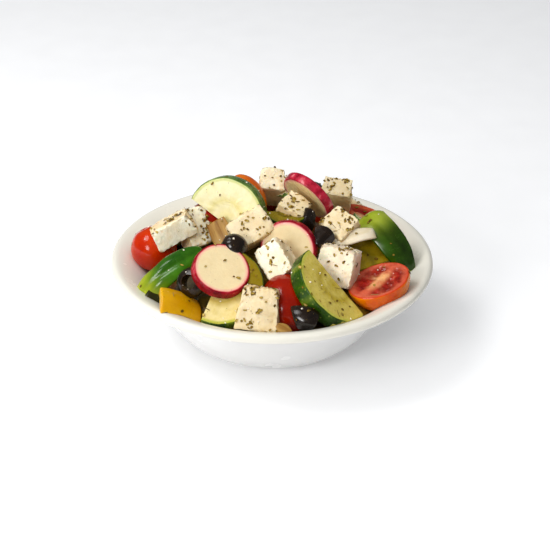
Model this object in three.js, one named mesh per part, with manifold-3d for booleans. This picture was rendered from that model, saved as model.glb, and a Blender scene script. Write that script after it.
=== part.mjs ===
// Greek salad in a round white bowl: feta, cucumber, radish, cherry tomato, sweet pepper, olive and onion,
// under dried oregano. Millimetres, +Z up. The origin is under the middle of the bowl, where it stands.
import * as THREE from "three";
import { mergeVertices } from "three/addons/utils/BufferGeometryUtils.js";
import Module from "manifold-3d";

const wasm = await Module();
wasm.setup();

// Bowl.
const RIM_RADIUS = 88;
const BOWL_HEIGHT = 49;
const FOOT_RADIUS = 36.5;
const FOOT_RECESS = 1.4;
const FLOOR_HEIGHT = 5;
const BOWL_SIDES = 36;

// Heap.
const BED_RADIUS = 80;
const BED_EDGE_HEIGHT = 35;
const BED_CROWN = 25;
const GAP = 0.3;

// Ingredients.
const CORNER_BREAK = 1.4;
const EDGE_BREAK = 0.6;
const CUCUMBER_RADIUS = 24;
const SLICE = 8.5;
const RADISH_RADIUS = 15.5;
const RADISH_SLICE = 5.5;
const TOMATO_RADIUS = 12.8;
const OLIVE_RADIUS = 8;
const OLIVE_LENGTH = 19;
const OLIVE_HOLE = 3;
const PEPPER_WALL = 4.5;
const ONION_WALL = 2.2;
const FLAKE_LENGTH = 1.3;
const FLAKE_WIDTH = 0.8;
const FLAKE_HEIGHT = 0.5;

const degrees = THREE.MathUtils.degToRad;

/** A repeatable source of random numbers from 0 to 1. */
function seeded(seed) {
  let state = seed * 7919 + 13;
  return () => {
    state = (state * 16807 + 11) % 2147483647;
    return state / 2147483647;
  };
}

/** The same surface with shared corners and no flattened triangles, which is what a closed solid needs. */
function welded(geometry) {
  const bare = new THREE.BufferGeometry();
  bare.setAttribute("position", geometry.getAttribute("position").clone());
  bare.setIndex(geometry.index);
  const merged = mergeVertices(bare, 1e-4);
  const corners = [];
  for (let i = 0; i < merged.index.count; i += 3) {
    const [a, b, c] = [0, 1, 2].map((k) => merged.index.getX(i + k));
    if (a !== b && b !== c && a !== c) corners.push(a, b, c);
  }
  merged.setIndex(corners);
  return merged;
}

function solidOf(geometry) {
  const { attributes, index } = geometry;
  const vertProperties = new Float32Array(attributes.position.array);
  const triVerts = new Uint32Array(index.array);
  return new wasm.Manifold(new wasm.Mesh({ numProp: 3, vertProperties, triVerts }));
}

function geometryOf(solid) {
  const { vertProperties, triVerts } = solid.getMesh();
  const geometry = new THREE.BufferGeometry();
  geometry.setAttribute("position", new THREE.BufferAttribute(vertProperties, 3));
  geometry.setIndex(new THREE.BufferAttribute(triVerts, 1));
  return geometry;
}

/** The largest body of a solid, so that a cut leaves no loose scraps. */
function largest(solid) {
  return solid.decompose().reduce((best, body) => (body.volume() > best.volume() ? body : best));
}

/** Moves every corner of a geometry by a function of that corner. */
function shaped(geometry, move) {
  const position = geometry.getAttribute("position");
  const corner = new THREE.Vector3();
  for (let i = 0; i < position.count; i++) {
    move(corner.fromBufferAttribute(position, i));
    position.setXYZ(i, corner.x, corner.y, corner.z);
  }
  return geometry;
}

/** A closed profile of radius and height turned about the upright axis. */
function turned(points, sides) {
  return welded(new THREE.LatheGeometry(points, sides).rotateX(Math.PI / 2));
}

// The bowl: a deep body on a low foot, flaring into a wide rim with a rounded lip.

function insideCurve(gap) {
  return new THREE.CubicBezierCurve(
    new THREE.Vector2(RIM_RADIUS - 4.8 - gap, BOWL_HEIGHT - 0.5),
    new THREE.Vector2(60 - gap, 40 + gap),
    new THREE.Vector2(58 - gap, 8 + gap),
    new THREE.Vector2(30 - gap, FLOOR_HEIGHT + gap),
  );
}

function bowl() {
  const underLip = new THREE.Vector2(RIM_RADIUS - 4.2, BOWL_HEIGHT - 5.8);
  const outside = new THREE.Path();
  outside.moveTo(0, FOOT_RECESS);
  outside.lineTo(FOOT_RADIUS - 4.5, FOOT_RECESS);
  outside.lineTo(FOOT_RADIUS - 3, 0);
  outside.lineTo(FOOT_RADIUS, 0);
  outside.lineTo(FOOT_RADIUS + 1.5, 1.2);
  outside.bezierCurveTo(61, 5, 62, 35, underLip.x, underLip.y);
  const lip = new THREE.SplineCurve([
    new THREE.Vector2(underLip.x + 0.6, underLip.y - 0.1),
    new THREE.Vector2(RIM_RADIUS - 1, BOWL_HEIGHT - 4.4),
    new THREE.Vector2(RIM_RADIUS, BOWL_HEIGHT - 2.2),
    new THREE.Vector2(RIM_RADIUS - 1.2, BOWL_HEIGHT - 0.4),
    new THREE.Vector2(RIM_RADIUS - 3, BOWL_HEIGHT),
  ]);
  const profile = [
    ...outside.getPoints(6),
    ...lip.getPoints(5),
    ...insideCurve(0).getPoints(7),
    new THREE.Vector2(0, FLOOR_HEIGHT),
  ];
  return turned(profile, BOWL_SIDES);
}

/** Everything below the rim that the salad can't enter: the bowl and what lies outside it. */
function outsideOfBowl() {
  const reach = RIM_RADIUS + 8;
  const profile = [
    new THREE.Vector2(0, -5),
    new THREE.Vector2(reach, -5),
    new THREE.Vector2(reach, BOWL_HEIGHT + GAP),
    new THREE.Vector2(RIM_RADIUS - 4.5 - GAP, BOWL_HEIGHT + GAP),
    ...insideCurve(GAP).getPoints(7),
    new THREE.Vector2(0, FLOOR_HEIGHT + GAP),
  ];
  return turned(profile, BOWL_SIDES);
}

// Ingredients. Each has its own frame: +Z is the side that shows, and +X runs along its length. A maker gives
// a function of extra, which adds that much to every size. With extra, it gives the room that a piece takes
// up, in few sides that go round it, and its neighbours are cut by that room.

/** How much wider a circle's polygon of so many sides has to be to go round that circle. */
const roundAbout = (sides) => 1 / Math.cos(Math.PI / sides);

/** A crumbly block of feta with broken corners, which narrows by a share of its width towards +Y. */
const fetaBlock = (width, height, depth, narrows, seed) => (extra) => {
  const random = seeded(seed);
  const size = [width, height, depth].map((side) => side + extra);
  const narrow = (corner) => (corner.x *= 1 - (narrows * corner.y) / height);
  if (extra > 0) return shaped(welded(new THREE.BoxGeometry(...size)), narrow);
  return shaped(welded(new THREE.BoxGeometry(...size, 2, 2, 2)), (corner) => {
    const place = corner.toArray();
    const edges = [0, 1, 2].filter((axis) => Math.abs(place[axis]) > size[axis] / 2 - 0.01);
    const broken = edges.length === 3 ? 0.4 + CORNER_BREAK * random() : EDGE_BREAK * random();
    for (const axis of [0, 1, 2]) {
      const move = edges.includes(axis) ? -Math.sign(place[axis]) * broken : random() - 0.5;
      corner.setComponent(axis, place[axis] + move);
    }
    narrow(corner);
  });
};

/** A half-moon slice: the straight cut lies along X, and reach says how far the slice passes the middle. */
const halfMoon = (radius, thickness, reach = 0) => (extra) => {
  const arcSides = extra > 0 ? 6 : 12;
  const outer = (radius + extra / 2) * (extra > 0 ? roundAbout(2 * arcSides) : 1);
  const dip = Math.asin((reach + extra / 2) / outer);
  const outline = new THREE.Shape();
  outline.absarc(0, 0, outer, -dip, Math.PI + dip);
  outline.closePath();
  const options = { depth: thickness + extra, bevelEnabled: false, curveSegments: arcSides };
  return welded(new THREE.ExtrudeGeometry(outline, options).translate(0, 0, -(thickness + extra) / 2));
};

/** A round slice whose rim bulges a little. */
const disc = (radius, thickness) => (extra) => {
  const half = (thickness + extra) / 2;
  if (extra > 0) {
    const outer = (radius + extra / 2) * roundAbout(10);
    return welded(new THREE.CylinderGeometry(outer, outer, 2 * half, 10).rotateX(Math.PI / 2));
  }
  const profile = [
    new THREE.Vector2(0, -half),
    new THREE.Vector2(radius - 0.9, -half),
    new THREE.Vector2(radius, -half * 0.4),
    new THREE.Vector2(radius - 0.9, half),
    new THREE.Vector2(0, half),
  ];
  return turned(profile, 16);
};

/** A ball stretched to three half sizes. */
function ball(halves, around, up, extra) {
  const grow = extra > 0 ? roundAbout(around) * roundAbout(2 * up) : 1;
  const [a, b, c] = halves.map((half) => (half + extra / 2) * grow);
  return welded(new THREE.SphereGeometry(1, around, up).scale(a, b, c));
}

/** A whole cherry tomato, longer along Y. */
const wholeTomato = (radius, length) => (extra) => {
  const [around, up] = extra > 0 ? [8, 5] : [12, 8];
  return ball([radius, length / 2, radius], around, up, extra);
};

/** Half a cherry tomato, cut face up, with the two seed chambers hollowed and their seeds showing. */
const halfTomato = (length, width, depth) => (extra) => {
  const [around, up] = extra > 0 ? [8, 5] : [14, 8];
  const fruit = solidOf(ball([length / 2, width / 2, depth], around, up, extra));
  const above = new THREE.BoxGeometry(2 * length, 2 * length, length).translate(0, 0, (length + extra) / 2);
  let half = fruit.subtract(solidOf(welded(above)));
  if (extra > 0) return geometryOf(half);
  for (const side of [-1, 1]) {
    const middle = side * width * 0.21;
    const chamber = ball([length * 0.31, width * 0.12, 1.4], 7, 4, 0).translate(0, middle, 0);
    half = half.subtract(solidOf(chamber));
    for (const along of [-0.14, 0.1]) {
      const seed = new THREE.OctahedronGeometry(1).scale(1.5, 0.9, 0.8);
      half = half.add(solidOf(welded(seed.translate(length * along, middle, -1.2))));
    }
  }
  return geometryOf(half);
};

/** A pitted olive: its hole runs along Y. */
const olive = (length, radius, hole = OLIVE_HOLE) => (extra) => {
  if (extra > 0) return ball([radius, length / 2 + 0.5, radius], 7, 5, extra);
  const start = Math.asin(hole / radius);
  const steps = 5;
  const profile = [];
  for (let i = 0; i <= steps; i++) {
    const angle = Math.PI - start - ((Math.PI - 2 * start) * i) / steps;
    profile.push(new THREE.Vector2(radius * Math.sin(angle), (length / 2) * Math.cos(angle)));
  }
  profile.push(profile[0].clone());
  return welded(new THREE.LatheGeometry(profile, 10));
};

/** The whole end of an olive, whose hole is turned away. */
const oliveEnd = (length, radius) => (extra) => {
  return ball([radius, length / 2, radius], extra > 0 ? 7 : 10, 5, extra);
};

/** A ring cut from an olive: its hole runs along Z. */
const oliveRing = (length, radius, hole) => (extra) => {
  if (extra > 0) return disc(radius, length)(extra);
  return olive(length, radius, hole)(0).rotateX(Math.PI / 2);
};

/** A strip with its skin on the +Z side, curled along its length and crowned across its width. It narrows by
 * one taper towards -X and by the other towards +X. */
const strip = (length, width, thickness, curl, crown, tapers = [0.25, 0.25]) => (extra) => {
  const [along, across, spare] = extra > 0 ? [4, 3, 1.6] : [7, 3, 0];
  const long = length + extra;
  const box = welded(new THREE.BoxGeometry(long, width + extra, thickness + extra + spare, along, across, 1));
  return shaped(box, (corner) => {
    const taper = tapers[corner.x > 0 ? 1 : 0];
    const side = corner.y * (1 - taper * Math.pow((2 * corner.x) / long, 2));
    const lifted = (crown + corner.z) * Math.cos(side / crown) - crown;
    const end = corner.x;
    corner.y = (crown + corner.z) * Math.sin(side / crown);
    corner.x = (curl + lifted) * Math.sin(end / curl);
    corner.z = (curl + lifted) * Math.cos(end / curl) - curl;
  });
};

// Finishes.
const finish = (color, roughness) => new THREE.MeshStandardMaterial({ color, roughness, metalness: 0 });
const FETA = ["#f4ead2", 0.85];
const CUCUMBER = ["#c3c56a", 0.4];
const RADISH = ["#ecd2c0", 0.4];
const TOMATO = ["#c8331a", 0.22];
const GREEN_PEPPER = ["#4f7d22", 0.2];
const YELLOW_PEPPER = ["#dba414", 0.25];
const OLIVE = ["#2a2120", 0.2];
const ONION = ["#e4d6b8", 0.3];

// The heap. Pieces are laid from the top down, and each is cut back from those already laid.

const placed = [];
const outside = solidOf(outsideOfBowl());

/** The turn of a piece whose +Z side looks to a heading, 0 for the front and 90 for the right, at a pitch
 * above the horizon, and which is spun about that side. */
function turn(heading, pitch, spin) {
  const [alongX, alongZ] = [new THREE.Vector3(1, 0, 0), new THREE.Vector3(0, 0, 1)];
  const about = (axis, angle) => new THREE.Quaternion().setFromAxisAngle(axis, degrees(angle));
  return about(alongZ, heading).multiply(about(alongX, 90 - pitch)).multiply(about(alongZ, spin));
}

/** Lays a piece with its middle at a point, turned by heading, pitch and spin. */
function lay(name, make, look, at, angles, flakes = null) {
  const matrix = new THREE.Matrix4().makeRotationFromQuaternion(turn(...angles)).setPosition(...at);
  const room = make(2 * GAP).applyMatrix4(matrix);
  room.computeBoundingBox();
  const { boundingBox } = room;
  const near = placed.filter((other) => other.room.boundingBox.intersectsBox(boundingBox));
  const whole = solidOf(make(0).applyMatrix4(matrix)).subtract(outside);
  const solid = near.reduce((rest, other) => rest.subtract(solidOf(other.room)), whole);
  placed.push({ name, look, matrix, room, flakes, solid: largest(solid) });
}

/** Where herb flakes may lie on the side of a piece that shows, and how many are dropped there. */
const flakesOn = (width, height, depth, count, rise = 0) => ({ width, height, depth, count, rise });

function feta(name, size, at, angles, flakes, narrows = 0.1) {
  const make = fetaBlock(...size, narrows, placed.length + 1);
  lay(name, make, FETA, at, angles, flakesOn(...size, flakes));
}

function cucumber(name, [radius, reach], at, angles, flakes = 0) {
  const spread = flakesOn(radius * 1.4, radius * 0.8, SLICE, flakes, radius * 0.4);
  lay(name, halfMoon(radius, SLICE, reach), CUCUMBER, at, angles, spread);
}

function radish(name, radius, at, angles, flakes = 0) {
  const spread = flakesOn(radius * 1.3, radius * 1.3, RADISH_SLICE, flakes);
  lay(name, disc(radius, RADISH_SLICE), RADISH, at, angles, spread);
}

// The side that faces the front.
feta("feta_front", [20.5, 22, 16], [-6, -59.3, 48.6], [-6, 27, -3], 8, 0.26);
radish("radish_front", RADISH_RADIUS, [-26.5, -42.7, 61.5], [25, 57, -13], 3);
cucumber("cucumber_front", [CUCUMBER_RADIUS - 1.5, 3], [29.8, -46, 53.4], [67, 48, 85], 4);
feta("feta_right", [20.5, 20.5, 14], [35.2, -27.3, 56.5], [-24, 21, -3], 6);
lay("tomato_right", halfTomato(34, 28, 18), TOMATO, [56.2, -36, 53], [-62, 72, 76]);
feta("feta_middle", [21, 15.5, 12], [3.2, -33.4, 62.2], [-34, 28, -38], 5);
feta("feta_left", [23, 12.5, 14], [-53.8, -1.6, 63.8], [9, 8, 26], 4);
feta("feta_crown", [23, 16.5, 16], [-11.5, -9.3, 67.8], [-5, 40, 35], 8);
feta("feta_right_top", [17, 15, 15], [37, -2, 66], [-17, 55, -31], 6);
feta("feta_herbed", [15, 14, 12], [11.5, 5, 73], [30, 65, -56], 8);
lay("olive_whole", oliveEnd(15, 7), OLIVE, [-20, -27, 67], [24, 53, 44]);
lay("pepper_left", strip(44, 13.5, PEPPER_WALL, 30, 8), GREEN_PEPPER, [-54.5, -35.5, 58], [-19, 50, 52]);
lay("onion_right", strip(27, 8, ONION_WALL, 24, 14, [0.8, 0.3]), ONION, [43.4, -11, 65.6], [7, 54, 14]);
feta("feta_left_far", [21.5, 16, 14], [-42.9, 8.3, 59.4], [32, 41, -88], 3);
cucumber("cucumber_top", [CUCUMBER_RADIUS - 2, 3.5], [-24.5, 10, 66.5], [-18, 15, -29], 7);
radish("radish_middle", RADISH_RADIUS, [8.8, -19, 62.3], [-17, 20, 9], 1);
radish("radish_back", RADISH_RADIUS + 0.5, [19.8, 17.7, 75.7], [-45, -29, -35]);
lay("tomato_far_right", halfTomato(36, 24, 13), TOMATO, [53, 29, 56], [52, 80, -87]);
feta("feta_far_right", [17, 14, 14], [36, 36, 67.5], [-1, 69, -9], 5);
feta("feta_top", [14, 15, 18], [-1, 36, 72], [9, 59, -11], 3);
lay("tomato_top", wholeTomato(9, 27), TOMATO, [-14.3, 24, 72.5], [6, 38, 37]);
lay("tomato_left", wholeTomato(TOMATO_RADIUS, 25), TOMATO, [-65, 3, 50], [20, 28, 20]);
lay("olive_ring", oliveRing(9, OLIVE_RADIUS, OLIVE_HOLE + 1), OLIVE, [-42, -43, 54.5], [-22, 33, 11]);
const pepperRight = strip(44, 15.5, PEPPER_WALL, 26, 14, [-0.4, 0.6]);
lay("pepper_right", pepperRight, GREEN_PEPPER, [64, -5, 60.7], [10, 48, -61]);
cucumber("cucumber_right", [CUCUMBER_RADIUS - 4, 4], [46, -12, 47], [10, 60, 15]);
cucumber("cucumber_low", [CUCUMBER_RADIUS - 2, 3], [-26, -45, 52], [-2, 54, -108], 3);
lay("tomato_middle", wholeTomato(TOMATO_RADIUS + 1, 34), TOMATO, [8, -50, 46], [-10, 58, 22]);
lay("pepper_yellow", strip(24, 20, PEPPER_WALL, 40, 16), YELLOW_PEPPER, [-46.4, -56, 47.3], [61, 47, -50]);
lay("olive_low", oliveEnd(OLIVE_LENGTH + 3, OLIVE_RADIUS), OLIVE, [17.3, -67, 46.8], [0, 59, 60]);
cucumber("cucumber_inner", [11.5, 0], [8, 2, 70.5], [-4, 80, -172]);
lay("olive_inner", oliveEnd(14, 6.5), OLIVE, [18, -2, 70.5], [0, 59, -35]);
lay("olive_behind", oliveEnd(16, 7), OLIVE, [26.4, -16, 66.5], [0, 59, 37]);
lay("tomato_inner", wholeTomato(TOMATO_RADIUS - 1, 24), TOMATO, [-35, 18, 59], [24, 53, -80]);
lay("onion_left", strip(16, 12, ONION_WALL, 60, 40, [0.1, 0.1]), ONION, [-28, -2, 62], [-22, 37, -50]);
lay("onion_low", strip(9, 6, ONION_WALL, 24, 14, [0.7, 0.7]), ONION, [6.5, -73.5, 45], [0, 59, -30]);
lay("pepper_side", strip(32, 14, PEPPER_WALL, 60, 16), GREEN_PEPPER, [-52, -47.5, 40.6], [24, 53, -50]);

// The far side.
cucumber("cucumber_rear", [CUCUMBER_RADIUS, 0], [16, 44, 58], [158, 48, 8]);
feta("feta_rear", [19, 18, 16], [-20, 43, 60], [200, 50, 25], 0);
radish("radish_rear", RADISH_RADIUS, [-33, 33, 57], [226, 44, 0]);
lay("pepper_rear", strip(38, 18, PEPPER_WALL, 26, 14), YELLOW_PEPPER, [0, 54, 62], [184, 42, 70]);
lay("tomato_rear", halfTomato(34, 26, 13), TOMATO, [-12, 62, 51], [196, 55, 20]);
lay("olive_rear", olive(OLIVE_LENGTH, OLIVE_RADIUS), OLIVE, [22, 63, 54], [160, 50, 60]);
feta("feta_rear_right", [20, 17, 16], [42, 51, 49], [135, 48, 20], 0);
lay("tomato_rear_right", wholeTomato(TOMATO_RADIUS - 1, 25), TOMATO, [28, 57, 43], [150, 30, 70]);
cucumber("cucumber_rear_left", [CUCUMBER_RADIUS - 1, 0], [-38, 50, 44], [218, 52, 170]);
lay("pepper_rear_left", strip(40, 18, PEPPER_WALL, 28, 14), GREEN_PEPPER, [-55, 30, 48], [240, 50, 20]);
lay("olive_rear_left", olive(OLIVE_LENGTH, OLIVE_RADIUS), OLIVE, [-28, 66, 46], [205, 50, 80]);
radish("radish_rear_low", RADISH_RADIUS - 1, [6, 71, 46], [176, 52, 0]);
cucumber("cucumber_rear_right", [CUCUMBER_RADIUS - 1, 0], [64, 30, 43], [112, 58, 20]);
feta("feta_rear_left", [17, 16, 14], [-58, 50, 37], [230, 55, 35], 0);
cucumber("cucumber_side", [20, 0], [-72, 18, 38], [262, 50, 20]);

/** A piece with herb flakes half sunk in the side that shows, where they are clear of the other solids. */
function herbed({ solid, matrix, flakes }, others) {
  if (!flakes) return solid;
  const random = seeded(Math.round(flakes.width * flakes.height));
  const between = (span) => (random() - 0.5) * (span - 3 * FLAKE_LENGTH);
  const level = (flakes.depth - FLAKE_HEIGHT) / 2;
  let result = solid;
  for (let i = 0; i < flakes.count; i++) {
    const place = [between(flakes.width), flakes.rise + between(flakes.height), level];
    const heading = Math.PI * random();
    const size = 0.7 + 0.5 * random();
    const flakeOf = (grow) => {
      const flake = new THREE.OctahedronGeometry(size * grow).scale(FLAKE_LENGTH, FLAKE_WIDTH, FLAKE_HEIGHT);
      return solidOf(welded(flake.rotateZ(heading).translate(...place).applyMatrix4(matrix)));
    };
    const sunk = flakeOf(1).intersect(solid).volume() / flakeOf(1).volume();
    const clear = others.every((other) => other === solid || flakeOf(2).intersect(other).isEmpty());
    if (sunk > 0.2 && sunk < 0.9 && clear) result = result.add(flakeOf(1));
  }
  return result;
}

/** The mixed salad that the pieces lie on: a mound that fills the bowl, with an uneven top. */
function bed() {
  const rings = 4;
  const profile = [new THREE.Vector2(0, FLOOR_HEIGHT), new THREE.Vector2(BED_RADIUS, FLOOR_HEIGHT)];
  for (let i = 0; i <= rings; i++) {
    const share = 1 - i / rings;
    profile.push(new THREE.Vector2(BED_RADIUS * share, BED_EDGE_HEIGHT + BED_CROWN * (1 - share * share)));
  }
  const mound = shaped(turned(profile, 20), (corner) => {
    if (corner.z > FLOOR_HEIGHT) corner.z += 2 * Math.sin(corner.x / 7) * Math.cos(corner.y / 6);
  });
  const whole = solidOf(mound).subtract(outside);
  return largest(placed.reduce((rest, { room }) => rest.subtract(solidOf(room)), whole));
}

// The finished object.

const salad = new THREE.Group();

function addMesh(name, geometry, [color, roughness], matrix = new THREE.Matrix4()) {
  const mesh = new THREE.Mesh(geometry.applyMatrix4(matrix.clone().invert()), finish(color, roughness));
  mesh.name = name;
  mesh.applyMatrix4(matrix);
  salad.add(mesh);
}

addMesh("bowl", bowl(), ["#f3f1ec", 0.18]);
const bedSolid = bed();
const solids = [bedSolid, ...placed.map(({ solid }) => solid)];
addMesh("salad_bed", geometryOf(bedSolid), ["#8d7a35", 0.5]);
for (const piece of placed) addMesh(piece.name, geometryOf(herbed(piece, solids)), piece.look, piece.matrix);

export default salad;
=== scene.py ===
# A greek salad in its round white bowl: feta, cucumber, radish, cherry tomato, sweet pepper, olive and
# onion, heaped over the rim and strewn with dried oregano. The scene is in metres, +Z up, in the frame of
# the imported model, and the bowl and its food are sized in millimetres.
import math
import random

import bpy
import numpy as np
from mathutils import Matrix, Vector, noise
from mathutils.bvhtree import BVHTree


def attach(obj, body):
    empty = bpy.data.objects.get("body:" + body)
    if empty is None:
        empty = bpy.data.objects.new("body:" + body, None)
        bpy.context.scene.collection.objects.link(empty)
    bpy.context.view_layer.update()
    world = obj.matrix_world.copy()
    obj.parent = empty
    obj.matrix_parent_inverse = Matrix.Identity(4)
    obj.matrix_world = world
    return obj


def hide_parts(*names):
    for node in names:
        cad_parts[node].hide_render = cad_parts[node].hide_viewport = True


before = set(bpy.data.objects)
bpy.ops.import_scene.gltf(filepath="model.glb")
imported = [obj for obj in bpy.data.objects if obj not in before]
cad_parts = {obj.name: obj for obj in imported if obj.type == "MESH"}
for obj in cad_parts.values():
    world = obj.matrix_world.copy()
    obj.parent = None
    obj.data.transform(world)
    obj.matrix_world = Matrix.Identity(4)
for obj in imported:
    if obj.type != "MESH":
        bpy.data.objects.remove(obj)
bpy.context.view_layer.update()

# Camera. A long lens stands in front of the bowl, at the height of a seated guest's eyes, and looks down
# at the heap.
MM = 0.001
LOOK_DOWN = math.radians(29.3)
CAMERA_ROLL = math.radians(0.5)
CAMERA_AWAY = 800 * MM
LENS = 95.43
SENSOR = 36
HEAP_MIDDLE = Vector((0, 0, 48 * MM))
ASIDE, BELOW = 1.54 * MM, 11.08 * MM

camera_turn = Matrix.Rotation(math.pi / 2 - LOOK_DOWN, 4, "X") @ Matrix.Rotation(CAMERA_ROLL, 4, "Z")
camera_data = bpy.data.cameras.new("camera")
camera_data.lens, camera_data.sensor_width = LENS, SENSOR
camera_data.clip_start, camera_data.clip_end = 0.01, 20
camera = bpy.data.objects.new("camera", camera_data)
camera.matrix_world = (Matrix.Translation(HEAP_MIDDLE) @ camera_turn
                       @ Matrix.Translation((ASIDE, -BELOW, CAMERA_AWAY)))
bpy.context.scene.collection.objects.link(camera)
bpy.context.scene.camera = camera

# Light. A small lamp hangs high on the left, a wide soft one overhead and a third at the front left, and a
# pale room stands all round. The shadow falls to the right and towards the guest.
LAMPS = [
    ("window_lamp", (-0.62, -0.05, 0.95), 0.5, 4.4, True),
    ("ceiling_lamp", (-0.2, -0.3, 1.25), 2.0, 12.6, False),
    ("front_lamp", (-0.62, -0.85, 0.55), 0.4, 5.8, True),
]
ROOM_LIGHT, ROOM_TONE = 0.16, (0.9, 0.95, 1.0, 1)

for name, place, size, power, glints in LAMPS:
    lamp = bpy.data.lights.new(name, "AREA")
    lamp.shape, lamp.size, lamp.energy = "DISK", size, power
    hung = bpy.data.objects.new(name, lamp)
    hung.location = place
    hung.rotation_euler = (HEAP_MIDDLE - Vector(place)).to_track_quat("-Z", "Y").to_euler()
    hung.visible_glossy = glints
    bpy.context.scene.collection.objects.link(hung)
room = bpy.data.worlds.new("room")
room.use_nodes = True
room.node_tree.nodes["Background"].inputs["Color"].default_value = ROOM_TONE
room.node_tree.nodes["Background"].inputs["Strength"].default_value = ROOM_LIGHT
bpy.context.scene.world = room
bpy.context.scene.view_settings.view_transform = "Standard"

# Floor. A seamless sheet of white paper, far wider than the view, on which the bowl's foot stands. It
# glows a little, as paper does in a bright room.
FLOOR_REACH, PAPER_GLOW = 6.0, 0.17


def colour(code):
    """The linear colour that a shader takes, from a paint code such as f4ead2."""
    shares = [int(code[i:i + 2], 16) / 255 for i in (0, 2, 4)]
    linear = [s / 12.92 if s <= 0.04045 else ((s + 0.055) / 1.055) ** 2.4 for s in shares]
    return (*linear, 1)


class Finish:
    """A surface finish: one Principled shader, and the nodes that colour and roughen it."""

    def __init__(self, name, code, roughness, **sockets):
        self.material = bpy.data.materials.new(name)
        self.material.use_nodes = True
        self.tree = self.material.node_tree
        self.shader = self.tree.nodes["Principled BSDF"]
        self.shader.inputs["Base Color"].default_value = colour(code)
        self.shader.inputs["Roughness"].default_value = roughness
        for socket, value in sockets.items():
            self.shader.inputs[socket.replace("_", " ")].default_value = value

    def node(self, kind, inputs, **settings):
        made = self.tree.nodes.new("ShaderNode" + kind)
        for key, value in settings.items():
            setattr(made, key, value)
        for key, value in inputs.items():
            self.feed(made.inputs[key], value)
        return made

    def feed(self, socket, value):
        if isinstance(value, bpy.types.NodeSocket):
            self.tree.links.new(value, socket)
        else:
            socket.default_value = value

    def place(self):
        return self.node("TexCoord", {}).outputs["Object"]

    def carried(self, name):
        """A value that the mesh carries at its points."""
        return self.node("Attribute", {}, attribute_name=name).outputs["Fac"]

    def grain(self, scale, detail=4.0, stretch=(1, 1, 1), rough=0.5):
        """Cloudy noise, scale to the metre."""
        at = self.node("Mapping", {"Vector": self.place(), "Scale": stretch}).outputs["Vector"]
        inputs = {"Vector": at, "Scale": scale, "Detail": detail, "Roughness": rough}
        return self.node("TexNoise", inputs).outputs["Fac"]

    def cells(self, scale):
        """Round cells, scale to the metre: 0 in the middle of each."""
        return self.node("TexVoronoi", {"Vector": self.place(), "Scale": scale}).outputs["Distance"]

    def ramp(self, factor, *stops):
        """Colours, or greys given as numbers, along a factor."""
        made = self.node("ValToRGB", {"Fac": factor})
        ramp = made.color_ramp
        while len(ramp.elements) < len(stops):
            ramp.elements.new(0.5)
        for element, (at, tone) in zip(ramp.elements, stops):
            element.position = at
            element.color = colour(tone) if isinstance(tone, str) else (tone, tone, tone, 1)
        return made.outputs["Color"]

    def mix(self, factor, first, second):
        first, second = [colour(x) if isinstance(x, str) else x for x in (first, second)]
        return self.node("Mix", {0: factor, 6: first, 7: second}, data_type="RGBA").outputs[2]

    def sum(self, a, b, how="ADD"):
        return self.node("Math", {0: a, 1: b}, operation=how).outputs[0]

    def paint(self, tone, roughness=None, *bumps):
        """Feeds the shader: a colour, a roughness, and bumps as (height, depth in metres)."""
        self.feed(self.shader.inputs["Base Color"], tone)
        if roughness is not None:
            self.feed(self.shader.inputs["Roughness"], roughness)
        normal = None
        for height, depth in bumps:
            inputs = {"Height": height, "Distance": depth, "Strength": 1.0}
            if normal is not None:
                inputs["Normal"] = normal
            normal = self.node("Bump", inputs).outputs["Normal"]
        if normal is not None:
            self.feed(self.shader.inputs["Normal"], normal)
        return self.material


floor_mesh = bpy.data.meshes.new("floor")
floor_corners = [(x * FLOOR_REACH, y * FLOOR_REACH, 0) for x, y in ((-1, -1), (1, -1), (1, 1), (-1, 1))]
floor_mesh.from_pydata(floor_corners, [], [(0, 1, 2, 3)])
floor = bpy.data.objects.new("floor", floor_mesh)
bpy.context.scene.collection.objects.link(floor)
paper = Finish("white_paper", "f6f6f7", 0.9)
paper.shader.inputs["Emission Color"].default_value = (1, 1, 1, 1)
paper.shader.inputs["Emission Strength"].default_value = PAPER_GLOW
floor_mesh.materials.append(paper.paint(paper.ramp(paper.grain(40), (0.3, "f4f4f5"), (0.7, "f8f8f9")), None,
                                        (paper.grain(900), 0.02 * MM)))

# Bowl. White glazed porcelain, thrown as one piece: a deep body on a low foot that flares into a wide rim
# with a rounded lip. It is turned from one closed profile, finer than the solid that it stands for.
RIM_RADIUS, BOWL_HEIGHT = 88, 49
RIM_INSIDE = RIM_RADIUS - 4.8
FOOT_RADIUS, FOOT_RECESS, FLOOR_HEIGHT = 36.5, 1.4, 5
LIP_INWARD_AND_DOWN = [(4.2, 5.8), (2.6, 5.4), (1.3, 4.6), (0.4, 3.5), (0, 2.3), (0.3, 1.2), (1.2, 0.4),
                       (2.2, 0.05), (3, 0)]
BOWL_AROUND = 160


def bezier(steps, *controls):
    """Points along a cubic curve, its first and last control points included."""
    a, b, c, d = [np.array(p, float) for p in controls]
    t = np.linspace(0, 1, steps + 1)[:, None]
    return (1 - t) ** 3 * a + 3 * (1 - t) ** 2 * t * b + 3 * (1 - t) * t ** 2 * c + t ** 3 * d


def circle(count, x_radius=1.0, y_radius=None):
    turn = np.linspace(0, 2 * math.pi, count, endpoint=False)
    return np.stack([x_radius * np.cos(turn), (y_radius or x_radius) * np.sin(turn)], 1)


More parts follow.
